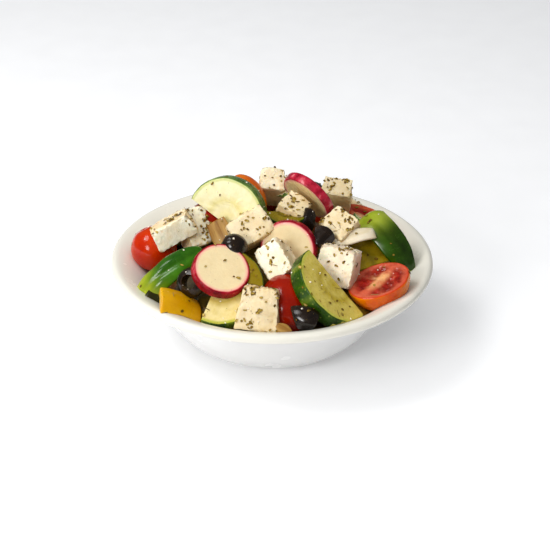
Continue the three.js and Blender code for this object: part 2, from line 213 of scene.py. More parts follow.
def loft(name, outline, profile, ring=False, middle=(0, 0)):
    """A closed mesh, given in millimetres: the outline about a middle, scaled and raised along a profile of
    (scale, height). Scale 0 is one point. A ring's profile comes back to where it began."""
    corners, rows, faces = [], [], []
    for scale, height in profile[:-1] if ring else profile:
        row = outline * scale if scale > 1e-9 else np.zeros((1, 2))
        rows.append((len(corners), len(row)))
        corners.extend((x + middle[0], y + middle[1], height) for x, y in row)
    pairs = list(zip(rows, rows[1:])) + ([(rows[-1], rows[0])] if ring else [])
    upward = sum(r * w - s * z for (r, z), (s, w) in zip(profile, profile[1:] + profile[:1])) > 0
    count = len(outline)
    for (low, low_count), (high, high_count) in pairs:
        for i in range(count):
            j = (i + 1) % count
            face = [low + i, low + j, high + j, high + i]
            if low_count == 1:
                face = [low, high + j, high + i]
            if high_count == 1:
                face = [low + i, low + j, high]
            faces.append(face if upward else face[::-1])
    mesh = bpy.data.meshes.new(name)
    mesh.from_pydata([Vector(c) * MM for c in corners], [], faces)
    mesh.validate()
    mesh.update()
    return mesh


def smoothed(mesh, sharp_over=60):
    mesh.shade_smooth()
    mesh.set_sharp_from_angle(angle=math.radians(sharp_over))
    return mesh


def inside_of_bowl(steps, gap=0):
    """Radius and height along the inner wall, from the rim down, at a gap from the glaze."""
    return bezier(steps, (RIM_INSIDE - gap, BOWL_HEIGHT - 0.5), (60 - gap, 40 + gap), (58 - gap, 8 + gap),
                  (30 - gap, FLOOR_HEIGHT + gap))


lip = [(RIM_RADIUS - inward, BOWL_HEIGHT - down) for inward, down in LIP_INWARD_AND_DOWN]
bowl_profile = [
    (0, FOOT_RECESS), (10, FOOT_RECESS), (22, FOOT_RECESS), (FOOT_RADIUS - 5, FOOT_RECESS),
    (FOOT_RADIUS - 4, FOOT_RECESS * 0.8), (FOOT_RADIUS - 3.2, 0.1), (FOOT_RADIUS - 2.6, 0),
    (FOOT_RADIUS - 0.6, 0), (FOOT_RADIUS, 0.1), (FOOT_RADIUS + 0.4, 0.5),
    *bezier(28, (FOOT_RADIUS + 1.5, 1.2), (61, 5), (62, 35), lip[0]),
    *lip[1:],
    *inside_of_bowl(28),
    (15, FLOOR_HEIGHT), (0, FLOOR_HEIGHT),
]
bowl_mesh = smoothed(loft("bowl", circle(BOWL_AROUND), [tuple(p) for p in bowl_profile]), 80)
glaze = Finish("white_glaze", "ecebe6", 0.25, Specular_IOR_Level=0.4)
glaze_tone = glaze.ramp(glaze.grain(25, 3), (0.35, "dfdedb"), (0.65, "e6e5e3"))
# Painted light: the lip, the top fifth of the bowl, is painted warmer and a little lighter than the glaze
# below, for the warm light on the rim.
height = glaze.node("SeparateXYZ", {"Vector": glaze.place()}).outputs["Z"]
painted_light_lip = glaze.ramp(glaze.sum(height, 1 / (BOWL_HEIGHT * MM), "MULTIPLY"), (0.8, 0.0), (0.95, 1.0))
glaze_tone = glaze.mix(painted_light_lip, glaze_tone, "e9e5d8")
glaze_rough = glaze.ramp(glaze.grain(60, 3), (0.3, 0.2), (0.7, 0.28))
bowl_mesh.materials.append(glaze.paint(glaze_tone, glaze_rough, (glaze.grain(30, 1), 0.01 * MM)))
bowl = bpy.data.objects.new("bowl_glazed", bowl_mesh)
bpy.context.scene.collection.objects.link(bowl)
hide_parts("bowl")
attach(bowl, "root")

# Feta. Moist blocks cut by hand from white sheep's cheese: flat sides, broken edges and corners, and small
# holes. The hollows and the sides below the top are painted golden and darker, partly the yellow of oil and
# partly painted shade. Each block is a rounded box whose points are pushed in by noise.
EDGE_ROUND, FETA_STEP = 0.55, 0.75
NARROWS, FRONT_NARROWS = 0.1, 0.26
heap = {}


def lay(name, mesh, at, angles, finish):
    """Puts a piece in the heap: its middle, then heading, pitch and spin in degrees. It stands for the solid
    that has its name."""
    heading, pitch, spin = [math.radians(angle) for angle in angles]
    piece = bpy.data.objects.new(name + "_food", mesh)
    mesh.materials.append(finish)
    piece.matrix_world = (Matrix.Translation(Vector(at) * MM) @ Matrix.Rotation(heading, 4, "Z")
                          @ Matrix.Rotation(math.pi / 2 - pitch, 4, "X") @ Matrix.Rotation(spin, 4, "Z"))
    bpy.context.scene.collection.objects.link(piece)
    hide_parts(name)
    heap[name] = piece


def carry(mesh, name, values):
    """Stores a value at each point of a mesh, for its finish to read."""
    mesh.attributes.new(name, "FLOAT", "POINT").data.foreach_set("value", [float(v) for v in values])


def block(name, size, step):
    """A box meshed evenly on all six sides, for a piece that noise will rough up."""
    cuts = [max(2, round(side / step)) for side in size]
    corners, index, faces = [], {}, []

    def corner(place):
        if place not in index:
            index[place] = len(corners)
            corners.append([(place[i] / cuts[i] - 0.5) * size[i] * MM for i in range(3)])
        return index[place]

    for axis in range(3):
        u, v = (axis + 1) % 3, (axis + 2) % 3
        for level in (0, cuts[axis]):
            for i in range(cuts[u]):
                for j in range(cuts[v]):
                    square = []
                    for a, b in ((i, j), (i + 1, j), (i + 1, j + 1), (i, j + 1)):
                        place = [0, 0, 0]
                        place[axis], place[u], place[v] = level, a, b
                        square.append(corner(tuple(place)))
                    faces.append(square if level else square[::-1])
    mesh = bpy.data.meshes.new(name)
    mesh.from_pydata(corners, [], faces)
    return mesh


def feta_mesh(name, size, narrows, seed):
    mesh = block(name, size, FETA_STEP)
    half = Vector(size) / 2
    shift = Vector((seed * 7.3, seed * 3.1, seed * 5.7))
    hollows, sides = [], []
    for point in mesh.vertices:
        co = point.co / MM
        # side is 0 on the top face and 1 from 2.5 mm below it: the finish paints shade down the sides with
        # it.
        sides.append(min(1, max(0, (half.z - co.z) / 2.5)))
        to_side = sorted(half[i] - abs(co[i]) for i in range(3))
        near_edge = math.exp(-max(to_side[1], 0) / 1.0)
        near_corner = math.exp(-max(to_side[2], 0) / 3.0) * math.exp(-max(to_side[1], 0) / 1.8)
        inner = Vector(max(-half[i] + EDGE_ROUND, min(half[i] - EDGE_ROUND, co[i])) for i in range(3))
        out = (co - inner).normalized() if (co - inner).length > 1e-6 else Vector((0, 0, 1))
        co = inner + out * min(EDGE_ROUND, (co - inner).length)
        at = co + shift
        chipped = max(0, noise.noise(at * 0.5) + 0.1) * near_edge * 2.2
        chipped += max(0, noise.noise(at * 0.2 + Vector((5, 5, 5))) + 0.25) * near_corner * 4.0
        chipped *= 0.8 + 0.5 * noise.noise(at * 1.1)
        grain = 0.16 * noise.turbulence(at * 0.9, 3, False) + 0.1 * noise.noise(at * 0.45)
        hole = max(0, 0.3 - noise.voronoi(at * 0.28)[0][0]) * 1.6
        fine_hole = max(0, 0.26 - noise.voronoi(at * 0.8)[0][0]) * 0.7
        depth = chipped + grain + hole + fine_hole - 0.8 * noise.noise(at * 0.11)
        # hollow marks the holes and chips, which the finish paints golden and darker: oil and painted shade.
        hollows.append(min(1, hole * 1.8 + fine_hole * 2.4 + chipped * 0.3))
        co -= out * depth
        co.x *= 1 - narrows * co.y / size[1]
        point.co = co * MM
    carry(mesh, "hollow", hollows)
    carry(mesh, "side", sides)
    mesh.update()
    return smoothed(mesh, 48)


def feta_finish(name, light, shade, side_shade_tone="e6c48c"):
    feta = Finish(name, light, 0.6, Subsurface_Weight=0.35, Subsurface_Radius=(1.0, 0.8, 0.5),
                  Subsurface_Scale=2.2 * MM, Specular_IOR_Level=0.35)
    cloud = feta.ramp(feta.grain(120, 5), (0.4, light), (0.75, shade))
    # Painted shade with the yellow of oil: the sides below the top take the side tone, and the hollows a
    # darker gold.
    painted_side_shade_mask = feta.sum(feta.carried("side"), feta.ramp(feta.grain(90, 3), (0.3, 0.35), (0.7, 0.8)), "MULTIPLY")
    cloud = feta.mix(painted_side_shade_mask, cloud, side_shade_tone)
    tone = feta.mix(feta.ramp(feta.carried("hollow"), (0.05, 0.0), (0.9, 0.7)), cloud, "d6b472")
    tone = feta.mix(feta.ramp(feta.grain(1300, 3), (0.5, 0.0), (0.8, 0.35)), tone, shade)
    rough = feta.ramp(feta.grain(420, 3), (0.3, 0.42), (0.7, 0.7))
    crumbly = feta.grain(1500, 6, rough=0.65)
    return feta.paint(tone, rough, (crumbly, 0.12 * MM), (feta.cells(900), 0.06 * MM))


# Four copies of one cheese, lighter, dimmer, golden or rosy: painted light and shade, each block taking the
# copy that stands in for how it is lit.
feta_painted_lit = feta_finish("feta_painted_lit", "fdf4dc", "f0dcb0")
feta_painted_dim = feta_finish("feta_painted_dim", "eedcb6", "dec490")
feta_painted_golden_shade = feta_finish("feta_painted_golden_shade", "f8eccc", "dcbc84")
feta_painted_rosy_shade = feta_finish("feta_painted_rosy_shade", "fbf0d6", "f0d8ba", "f4dcbc")
FETA = [
    ("feta_front", (20.5, 22, 16), (-6, -59.3, 48.6), (-6, 27, -3), feta_painted_dim),
    ("feta_right", (20.5, 20.5, 14), (35.2, -27.3, 56.5), (-24, 21, -3), feta_painted_rosy_shade),
    ("feta_middle", (21, 15.5, 12), (3.2, -33.4, 62.2), (-34, 28, -38), feta_painted_lit),
    ("feta_left", (23, 12.5, 14), (-53.8, -1.6, 63.8), (9, 8, 26), feta_painted_lit),
    ("feta_crown", (23, 16.5, 16), (-11.5, -9.3, 67.8), (-5, 40, 35), feta_painted_dim),
    ("feta_right_top", (17, 15, 15), (37, -2, 66), (-17, 55, -31), feta_painted_dim),
    ("feta_herbed", (15, 14, 12), (11.5, 5, 73), (30, 65, -56), feta_painted_dim),
    ("feta_left_far", (21.5, 16, 14), (-42.9, 8.3, 59.4), (32, 41, -88), feta_painted_lit),
    ("feta_far_right", (17, 14, 14), (36, 36, 67.5), (-1, 69, -9), feta_painted_dim),
    ("feta_top", (14, 15, 18), (-1, 36, 72), (9, 59, -11), feta_painted_golden_shade),
    ("feta_rear", (19, 18, 16), (-20, 43, 60), (200, 50, 25), feta_painted_lit),
    ("feta_rear_right", (20, 17, 16), (42, 51, 49), (135, 48, 20), feta_painted_dim),
    ("feta_rear_left", (17, 16, 14), (-58, 50, 37), (230, 55, 35), feta_painted_lit),
]
for seed, (name, size, at, angles, finish) in enumerate(FETA, 1):
    narrows = FRONT_NARROWS if name == "feta_front" else NARROWS
    lay(name, feta_mesh(name, size, narrows, seed), at, angles, finish)

# Cucumber. Thick half-moons with the skin left on: dark green skin, a green-yellow ring under it, pale wet
# flesh, and a glassy middle with flat seeds. The slice is a D with softened edges, and the seeds are low
# relief.
SLICE, SKIN_ROLL = 8.5, 0.7


def half_moon(radius, reach, arc_points=72, chord_points=26):
    """The outline of a half-moon, with the arc to +Y and the straight cut along X at -reach."""
    dip = math.asin(reach / radius)
    turn = np.linspace(-dip, math.pi + dip, arc_points)
    arc = np.stack([radius * np.cos(turn), radius * np.sin(turn)], 1)
    across = np.linspace(arc[-1, 0], arc[0, 0], chord_points + 1)[1:-1]
    return np.concatenate([arc, np.stack([across, np.full(len(across), -float(reach))], 1)])


def cucumber_mesh(name, radius, reach, seed):
    middle = np.array([0, 0.42 * radius])
    face = np.linspace(0, 0.96, 16)
    half = SLICE / 2
    edge = [(0.985, half - 0.1), (1.0, half - SKIN_ROLL), (1.004, half * 0.5), (1.006, 0)]
    profile = [(s, half) for s in face] + edge
    profile += [(s, -z) for s, z in profile[:-1][::-1]]
    mesh = loft(name, half_moon(radius, reach) - middle, profile, middle=middle)
    shift = Vector((seed * 11.7, seed * 4.9, 0))
    outs = []
    for point in mesh.vertices:
        x, y, z = point.co / MM
        out = math.hypot(x, y) / radius
        bend = math.atan2(y, x)
        wobble = 0.35 * noise.noise(Vector((math.cos(bend) * 2, math.sin(bend) * 2, seed)))
        swell = 1 + wobble / radius * min(1, out)
        side = 1 if z > 0 else -1
        flat = 1 - min(1, abs(abs(z) - half) / 0.4)
        seedy = math.exp(-((out - 0.46) / 0.15) ** 2)
        seeds = max(0, math.cos(bend * 14 + 2 * math.sin(out * 9))) ** 3 * seedy
        relief = 0.32 * seeds - 0.28 * math.exp(-(out / 0.55) ** 4)
        relief += 0.2 * noise.noise(point.co / MM * 0.22 + shift) - 0.75 * max(0, out - 0.9)
        point.co = Vector((x * swell, y * swell, z + side * flat * relief)) * MM
        outs.append(out)
    carry(mesh, "out", outs)
    mesh.update()
    return smoothed(mesh, 70)


def cucumber_finish(name, flesh, core, ring, peel, shaded=None):
    """The finish of a slice. A shaded slice is painted olive towards -X as shade from its neighbours."""
    cut = Finish(name, flesh, 0.3, Subsurface_Weight=0.22, Subsurface_Radius=(1.0, 0.9, 0.3),
                 Subsurface_Scale=1.6 * MM, Specular_IOR_Level=0.25)
    wander = cut.sum(cut.carried("out"), cut.sum(cut.grain(220, 3), 0.03, "MULTIPLY"))
    tone = cut.ramp(wander, (0.05, core), (0.3, flesh), (0.44, core), (0.6, flesh), (0.9, flesh),
                    (0.955, ring), (0.978, ring))
    mottled = cut.mix(cut.ramp(cut.grain(330, 5), (0.42, 0.0), (0.7, 0.4)), tone, core)
    if shaded:
        across = cut.node("SeparateXYZ", {"Vector": cut.place()}).outputs["X"]
        left = cut.ramp(cut.sum(across, 40, "MULTIPLY"), (0.0, 1.0), (0.3, 0.0))
        mottled = cut.mix(left, mottled, shaded)
    streak = cut.ramp(cut.grain(60, 5, (1, 1, 0.35)), (0.4, peel[0]), (0.54, peel[1]), (0.7, peel[2]))
    fleck = cut.mix(cut.ramp(cut.cells(380), (0.0, 0.6), (0.25, 0.0)), streak, "b2bd52")
    rind = cut.ramp(wander, (0.985, 0.0), (0.997, 1.0))
    tone = cut.mix(rind, mottled, fleck)
    rough = cut.ramp(cut.grain(500, 3), (0.3, 0.18), (0.7, 0.4))
    return cut.paint(tone, rough, (cut.grain(700, 4), 0.05 * MM), (cut.grain(110, 2), 0.25 * MM))


# Painted light and shade: the lighter peel is for slices that face the lamps, the darker one for slices in
# shade. Of the flesh, the front slice is painted darker and yellower, partly oil and partly painted shade,
# the low slice is painted olive towards -X as shade, and two copies are painted dark for the shadow under
# the pepper and the shade deep among the middle pieces.
painted_lit_peel, painted_shade_peel = ("2c4c10", "56762a", "98a862"), ("0c1802", "2a4c04", "7e8c0c")
pale_cucumber = cucumber_finish("pale_cucumber", "f6eec2", "eadf9c", "ccd088", painted_lit_peel)
front_cucumber = cucumber_finish("front_cucumber", "dcc862", "bea632", "cbc854", painted_shade_peel)
golden_cucumber = cucumber_finish("golden_cucumber", "e2d092", "ccb456", "b4b640", painted_shade_peel, "84700c")
cucumber_painted_shadow = cucumber_finish("cucumber_painted_shadow", "a88e12", "84720c", "84860e", painted_shade_peel)
cucumber_painted_deep_shade = cucumber_finish("cucumber_painted_deep_shade", "7e6c10", "5c4e08", "686c0c", painted_shade_peel)
CUCUMBER = [
    ("cucumber_front", 22.5, 3, (29.8, -46, 53.4), (67, 48, 85), front_cucumber),
    ("cucumber_top", 22, 3.5, (-24.5, 10, 66.5), (-18, 15, -29), pale_cucumber),
    ("cucumber_right", 20, 4, (46, -12, 47), (10, 60, 15), cucumber_painted_shadow),
    ("cucumber_low", 22, 3, (-26, -45, 52), (-2, 54, -108), golden_cucumber),
    ("cucumber_inner", 11.5, 0, (8, 2, 70.5), (-4, 80, -172), cucumber_painted_deep_shade),
    ("cucumber_rear", 24, 0, (16, 44, 58), (158, 48, 8), pale_cucumber),
    ("cucumber_rear_left", 23, 0, (-38, 50, 44), (218, 52, 170), pale_cucumber),
    ("cucumber_rear_right", 23, 0, (64, 30, 43), (112, 58, 20), pale_cucumber),
    ("cucumber_side", 20, 0, (-72, 18, 38), (262, 50, 20), pale_cucumber),
]
for seed, (name, radius, reach, at, angles, finish) in enumerate(CUCUMBER, 1):
    lay(name, cucumber_mesh(name, radius, reach, seed), at, angles, finish)

# Radish. Thick round slices: crimson skin that bleeds pink into the rim, and crisp white flesh with faint
# rays. Each is a disc whose rim bulges, a little out of round.
RADISH_SLICE = 5.5


def radish_mesh(name, radius, slant, seed):
    """A slice whose face is narrower than its back by a slant, as it is cut near the root's end."""
    half = RADISH_SLICE / 2
    cut = 1 - slant
    face = [(s * cut, half) for s in np.linspace(0, 0.95, 13)]
    back = [(s, -half) for s in np.linspace(0, 0.92, 11)]
    edge = [(0.975 * cut, half - 0.05), (0.993 * cut + 0.002, half - 0.3), (cut * 0.6 + 0.398, half * 0.5),
            (cut * 0.2 + 0.8, 0), (1.0, -half * 0.45), (0.995, -half * 0.7), (0.97, -half + 0.4),
            (0.945, -half + 0.1)]
    mesh = loft(name, circle(96, radius), face + edge + back[::-1])
    outs = []
    for point in mesh.vertices:
        x, y, z = point.co / MM
        out = math.hypot(x, y) / radius
        bared = out / cut if z > half - 0.2 else max(out, 1.0) if z > -half + 0.2 else out
        bend = Vector((math.cos(math.atan2(y, x)), math.sin(math.atan2(y, x)), seed * 3.3))
        swell = 1 + out * (0.03 * noise.noise(bend * 0.9) + 0.008 * noise.noise(bend * 4))
        flat = 1 - min(1, abs(abs(z) - half) / 0.4)
        dish = 0.25 * noise.noise(Vector((x, y, seed)) * 0.13) - 0.3 * (1 - out * out)
        point.co = Vector((x * swell, y * swell, z + flat * dish * (1 if z > 0 else -1))) * MM
        outs.append(bared)
    carry(mesh, "out", outs)
    mesh.update()
    return smoothed(mesh)


def radish_finish(name, flesh, warm, peel):
    radish = Finish(name, flesh, 0.35, Subsurface_Weight=0.2, Subsurface_Radius=(1.0, 0.7, 0.5),
                    Subsurface_Scale=1.4 * MM, Specular_IOR_Level=0.2)
    wander = radish.sum(radish.carried("out"), radish.sum(radish.grain(260, 3), 0.035, "MULTIPLY"))
    tone = radish.ramp(wander, (0.45, flesh), (0.84, flesh), (0.93, "f0b4a0"), (0.975, "b81c3a"))
    veins = radish.ramp(radish.grain(150, 6, (1, 1, 0.3), 0.62), (0.52, 0.0), (0.78, 0.4))
    tone = radish.mix(veins, tone, warm)
    skin = radish.ramp(radish.grain(170, 4), (0.35, peel[0]), (0.6, peel[1]), (0.78, peel[2]))
    tone = radish.mix(radish.ramp(wander, (0.975, 0.0), (0.99, 1.0)), tone, skin)
    rough = radish.ramp(radish.grain(400, 3), (0.3, 0.14), (0.7, 0.36))
    return radish.paint(tone, rough, (radish.grain(900, 4), 0.06 * MM), (radish.grain(140, 3), 0.2 * MM))


# Painted light: the back slice's copy has its flesh painted lighter against the shade it lies in, and the
# palest pink of its peel is a painted highlight.
white_radish = radish_finish("white_radish", "ebd6a8", "dcc084", ("6a0014", "9e061e", "dc5a68"))
rayed_radish_painted_light = radish_finish("rayed_radish_painted_light", "f8dca0", "b0703a", ("84061c", "c02840", "f0a0a0"))
RADISH = [
    ("radish_front", 15.5, 0.05, (-26.5, -42.7, 61.5), (25, 57, -13), white_radish),
    ("radish_middle", 15.5, 0.03, (8.8, -19, 62.3), (-17, 20, 9), white_radish),
    ("radish_back", 16, 0.02, (19.8, 17.7, 75.7), (-45, -29, -35), rayed_radish_painted_light),
    ("radish_rear", 15.5, 0.05, (-33, 33, 57), (226, 44, 0), white_radish),
    ("radish_rear_low", 14.5, 0.05, (6, 71, 46), (176, 52, 0), white_radish),
]
for seed, (name, radius, slant, at, angles, finish) in enumerate(RADISH, 1):
    lay(name, radish_mesh(name, radius, slant, seed), at, angles, finish)

# Cherry tomato. Some are whole, with a tight shiny skin and a dimple at the stalk's end, and some are
# halved lengthwise: a pink wall, a pale core, and two chambers of clear red jelly that hold the seeds.
TOMATO_RADIUS = 12.8


def oval(radius, length, count):
    """A profile that runs round from one end to the other, both on the axis."""
    turn = np.linspace(0, math.pi, count)[1:-1]
    round_side = [(radius * math.sin(t), length / 2 * math.cos(t)) for t in turn]
    return [(0, length / 2), *round_side, (0, -length / 2)]


def whole_tomato_mesh(name, radius, length, seed):
    mesh = loft(name, circle(72), oval(radius, length, 40))
    for point in mesh.vertices:
        x, y, z = point.co / MM
        dimple = 1.4 * math.exp(-(x * x + y * y) / 7) * (1 if z > 0 else 0.2)
        swell = 1 + 0.035 * noise.noise(Vector((x, y, z)) * 0.08 + Vector((seed * 9, 0, 0)))
        point.co = Vector((x * swell, (z - math.copysign(dimple, z)) * swell, -y * swell)) * MM
    mesh.update()
    return smoothed(mesh)


def half_tomato_mesh(name, length, width, depth, core_turn, seed):
    """A tomato's half, cut face up. The core is a band on the cut, turned from its length by core_turn."""
    face = [(s, 0) for s in np.linspace(0, 0.95, 34)]
    back = [(math.cos(t), -depth * math.sin(t)) for t in np.linspace(0.12, math.pi / 2 - 0.02, 20)]
    edge = [(0.975, -0.15), (0.99, -0.6)]
    mesh = loft(name, circle(120, length / 2, width / 2), face + edge + back + [(0, -depth)])
    along, across = math.cos(math.radians(core_turn)), math.sin(math.radians(core_turn))
    jelly, outs = [], []
    for point in mesh.vertices:
        x, y, z = point.co / MM
        u, v = 2 * x / length, 2 * y / width
        out = math.hypot(u, v)
        on_cut = z > -0.5
        u, v = u * along + v * across, v * along - u * across
        wander = 0.1 * noise.noise(Vector((x, y, seed * 4)) * 0.2)
        in_wall = 1 / (1 + math.exp((out - 0.78 + wander) * 26))
        beside_core = 1 / (1 + math.exp(-(abs(v) - 0.17 + wander) * 30))
        between = 1 - 0.3 * math.exp(-((u - 0.12 + wander) / 0.09) ** 2) * (v > 0)
        chamber = in_wall * beside_core * between if on_cut else 0
        swell = 1 + 0.03 * noise.noise(Vector((x, y, z + seed * 9)) * 0.1)
        drop, bumps = 0, 0
        if on_cut:
            drop = chamber * (0.8 + noise.noise(Vector((x, y, seed * 2)) * 0.45)) + 0.25 * (1 - out)
            bumps = 0.16 * noise.noise(Vector((x, y, seed)) * 0.5)
        point.co = Vector((x * swell, y * swell, z * swell - drop + bumps)) * MM
        jelly.append(chamber)
        outs.append(out if on_cut else 1.2)
    carry(mesh, "jelly", jelly)
    carry(mesh, "out", outs)
    mesh.update()
    return smoothed(mesh)


def tomato_skin(name, red, orange):
    skin = Finish(name, red, 0.12, Subsurface_Weight=0.08, Subsurface_Radius=(1.0, 0.3, 0.12),
                  Subsurface_Scale=1.2 * MM, Specular_IOR_Level=0.3)
    tone = skin.ramp(skin.grain(45, 3), (0.35, red), (0.7, orange))
    fleck = skin.mix(skin.ramp(skin.cells(900), (0.0, 0.2), (0.16, 0.0)), tone, "e58a3c")
    rough = skin.ramp(skin.grain(300, 3), (0.3, 0.08), (0.7, 0.2))
    return skin.paint(fleck, rough, (skin.grain(70, 2), 0.18 * MM))


def tomato_flesh(name, wall, core, gel, skin_red, skin_orange):
    cut = Finish(name, wall, 0.2, Subsurface_Weight=0.2, Subsurface_Radius=(1.0, 0.35, 0.15),
                 Subsurface_Scale=1.5 * MM, Specular_IOR_Level=0.32)
    out = cut.sum(cut.carried("out"), cut.sum(cut.grain(200, 3), 0.05, "MULTIPLY"))
    skin_tone = cut.ramp(cut.grain(28, 2), (0.48, skin_orange), (0.68, skin_red))
    tone = cut.ramp(out, (0.1, core), (0.3, core), (0.6, wall), (0.93, wall), (0.99, "cc3a10"))
    veins = cut.ramp(cut.grain(190, 5, (1, 1, 0.4)), (0.42, 0.0), (0.72, 0.7))
    tone = cut.mix(veins, tone, "b83c22")
    wet = cut.ramp(cut.grain(120, 4), (0.3, 0.55), (0.55, 1.0))
    jelly = cut.sum(cut.carried("jelly"), wet, "MULTIPLY")
    tone = cut.mix(jelly, tone, cut.ramp(cut.grain(170, 4), (0.38, gel), (0.6, "a01a0e"), (0.75, "d05c3c")))
    tone = cut.mix(cut.ramp(cut.sum(out, 0.3, "SUBTRACT"), (0.74, 0.0), (0.8, 1.0)), tone, skin_tone)
    rough = cut.ramp(cut.grain(420, 3), (0.3, 0.08), (0.7, 0.26))
    return cut.paint(tone, rough, (cut.grain(620, 4), 0.12 * MM), (cut.grain(210, 3), 0.75 * MM))


red_skin = tomato_skin("red_tomato_skin", "b01a00", "cc3e02")
orange_skin = tomato_skin("orange_tomato_skin", "d4560a", "e27a12")
# A copy of the red skin painted darker: painted shade on the two tomatoes set low among the pieces.
painted_shade_skin = tomato_skin("painted_shade_tomato_skin", "7c0c00", "a41e02")
cut_tomato = tomato_flesh("cut_tomato", "d45c34", "e6b47c", "780a02", "a82004", "c84410")
ripe_tomato = tomato_flesh("ripe_tomato", "cc6044", "e4a870", "700802", "d04800", "f08a00")
WHOLE_TOMATO = [
    ("tomato_top", 9, 27, (-14.3, 24, 72.5), (6, 38, 37), orange_skin),
    ("tomato_left", TOMATO_RADIUS, 25, (-65, 3, 50), (20, 28, 20), red_skin),
    ("tomato_middle", TOMATO_RADIUS + 1, 34, (8, -50, 46), (-10, 58, 22), painted_shade_skin),
    ("tomato_inner", TOMATO_RADIUS - 1, 24, (-35, 18, 59), (24, 53, -80), painted_shade_skin),
    ("tomato_rear_right", TOMATO_RADIUS - 1, 25, (28, 57, 43), (150, 30, 70), red_skin),
]
HALF_TOMATO = [
    ("tomato_right", (34, 28, 18, 38), (56.2, -36, 53), (-62, 72, 76), ripe_tomato),
    ("tomato_far_right", (36, 24, 13, 0), (53, 29, 56), (52, 80, -87), cut_tomato),
    ("tomato_rear", (34, 26, 13, 10), (-12, 62, 51), (196, 55, 20), cut_tomato),
]
for seed, (name, radius, length, at, angles, finish) in enumerate(WHOLE_TOMATO, 1):
    lay(name, whole_tomato_mesh(name, radius, length, seed), at, angles, finish)
for seed, (name, shape, at, angles, finish) in enumerate(HALF_TOMATO, 1):
    lay(name, half_tomato_mesh(name, *shape, seed), at, angles, finish)

# Olives. Black, pitted and slippery, with a dent at each end where the stone came out. One is cut to a
# ring, which shows its brown flesh and the hole.
OLIVE_RADIUS, OLIVE_LENGTH, OLIVE_HOLE = 8, 19, 3


def olive_mesh(name, length, radius, hole, along, facets, seed):
    """An olive whose hole runs along Y or Z. With no hole its end is only dented. Facets are where a knife
    or a neighbour has flattened it."""
    dice = random.Random(seed)
    flats = [Vector([dice.uniform(-1, 1) for _ in range(3)]).normalized() for _ in range(facets)]
    if hole:
        start = math.asin(hole / radius)
        turn = np.linspace(start, math.pi - start, 30)
        outer = [(radius * math.sin(t), length / 2 * math.cos(t)) for t in turn]
        tall = outer[0][1]
        inner = [(hole * (0.9 + 0.1 * abs(z / tall)), z) for z in np.linspace(-tall, tall, 12)[1:-1]]
        profile = outer + inner + outer[:1]
    else:
        profile = oval(radius, length, 34)
    mesh = loft(name, circle(60), profile, ring=bool(hole))
    skin = []
    for point in mesh.vertices:
        x, y, z = point.co / MM
        from_axis = math.hypot(x, y)
        wrinkle = 0.1 * noise.noise(Vector((x, y, z * 0.4)) * 0.55 + Vector((seed * 8, 0, 0)))
        swell = 1 + wrinkle * 0.25 + 0.03 * noise.noise(Vector((x, y, z)) * 0.12 + Vector((0, seed * 8, 0)))
        dent = 0 if hole else 1.1 * math.exp(-from_axis ** 2 / 4)
        co = Vector((x * swell, y * swell, (z - math.copysign(dent, z)) * swell))
        for flat in flats:
            co -= flat * max(0, co.dot(flat) - radius * 0.62)
        x, y, z = co
        point.co = (Vector((x, z, -y)) if along == "Y" else Vector((x, y, z))) * MM
        skin.append(1 if not hole else min(1, max(0, (from_axis - hole * 1.05) / 0.8)))
    carry(mesh, "skin", skin)
    mesh.update()
    return smoothed(mesh)


black = Finish("black_olive", "1e130b", 0.1, Specular_IOR_Level=0.5)
olive_tone = black.ramp(black.grain(120, 4), (0.35, "110a05"), (0.6, "22150a"), (0.8, "402812"))
olive_tone = black.mix(black.carried("skin"), "2e1c0e", olive_tone)
olive_rough = black.ramp(black.grain(260, 3), (0.3, 0.1), (0.7, 0.34))
black_olive = black.paint(olive_tone, olive_rough, (black.grain(200, 4), 0.1 * MM))
OLIVES = [
    ("olive_whole", 15, 7, 0, "Y", 0, (-20, -27, 67), (24, 53, 44)),
    ("olive_ring", 9, OLIVE_RADIUS, OLIVE_HOLE + 1, "Z", 0, (-42, -43, 54.5), (-22, 33, 11)),
    ("olive_low", OLIVE_LENGTH + 3, OLIVE_RADIUS, 0, "Y", 7, (17.3, -67, 46.8), (0, 59, 60)),
    ("olive_inner", 14, 6.5, 0, "Y", 9, (18, -2, 70.5), (0, 59, -35)),
    ("olive_behind", 16, 7, 0, "Y", 9, (26.4, -16, 66.5), (0, 59, 37)),
    ("olive_rear", OLIVE_LENGTH, OLIVE_RADIUS, OLIVE_HOLE, "Y", 0, (22, 63, 54), (160, 50, 60)),
    ("olive_rear_left", OLIVE_LENGTH, OLIVE_RADIUS, OLIVE_HOLE, "Y", 0, (-28, 66, 46), (205, 50, 80)),
]
for seed, (name, length, radius, hole, along, facets, at, angles) in enumerate(OLIVES, 1):
    lay(name, olive_mesh(name, length, radius, hole, along, facets, seed), at, angles, black_olive)

# Sweet pepper and onion. Both are strips cut from a curved wall: pepper has a glossy skin over thick pale
# flesh, and onion is a thin clear leaf with fine lines. A flat strip with round edges is bent along and
# across.
PEPPER_WALL, ONION_WALL = 4.5, 2.2
STRIP_STEP = 0.9


def box_outline(width, height, step):
    xs, ys = [np.linspace(-side / 2, side / 2, max(3, round(side / step)) + 1) for side in (width, height)]
    return np.array([(x, ys[0]) for x in xs[:-1]] + [(xs[-1], y) for y in ys[:-1]]
                    + [(x, ys[-1]) for x in xs[:0:-1]] + [(xs[0], y) for y in ys[:0:-1]])


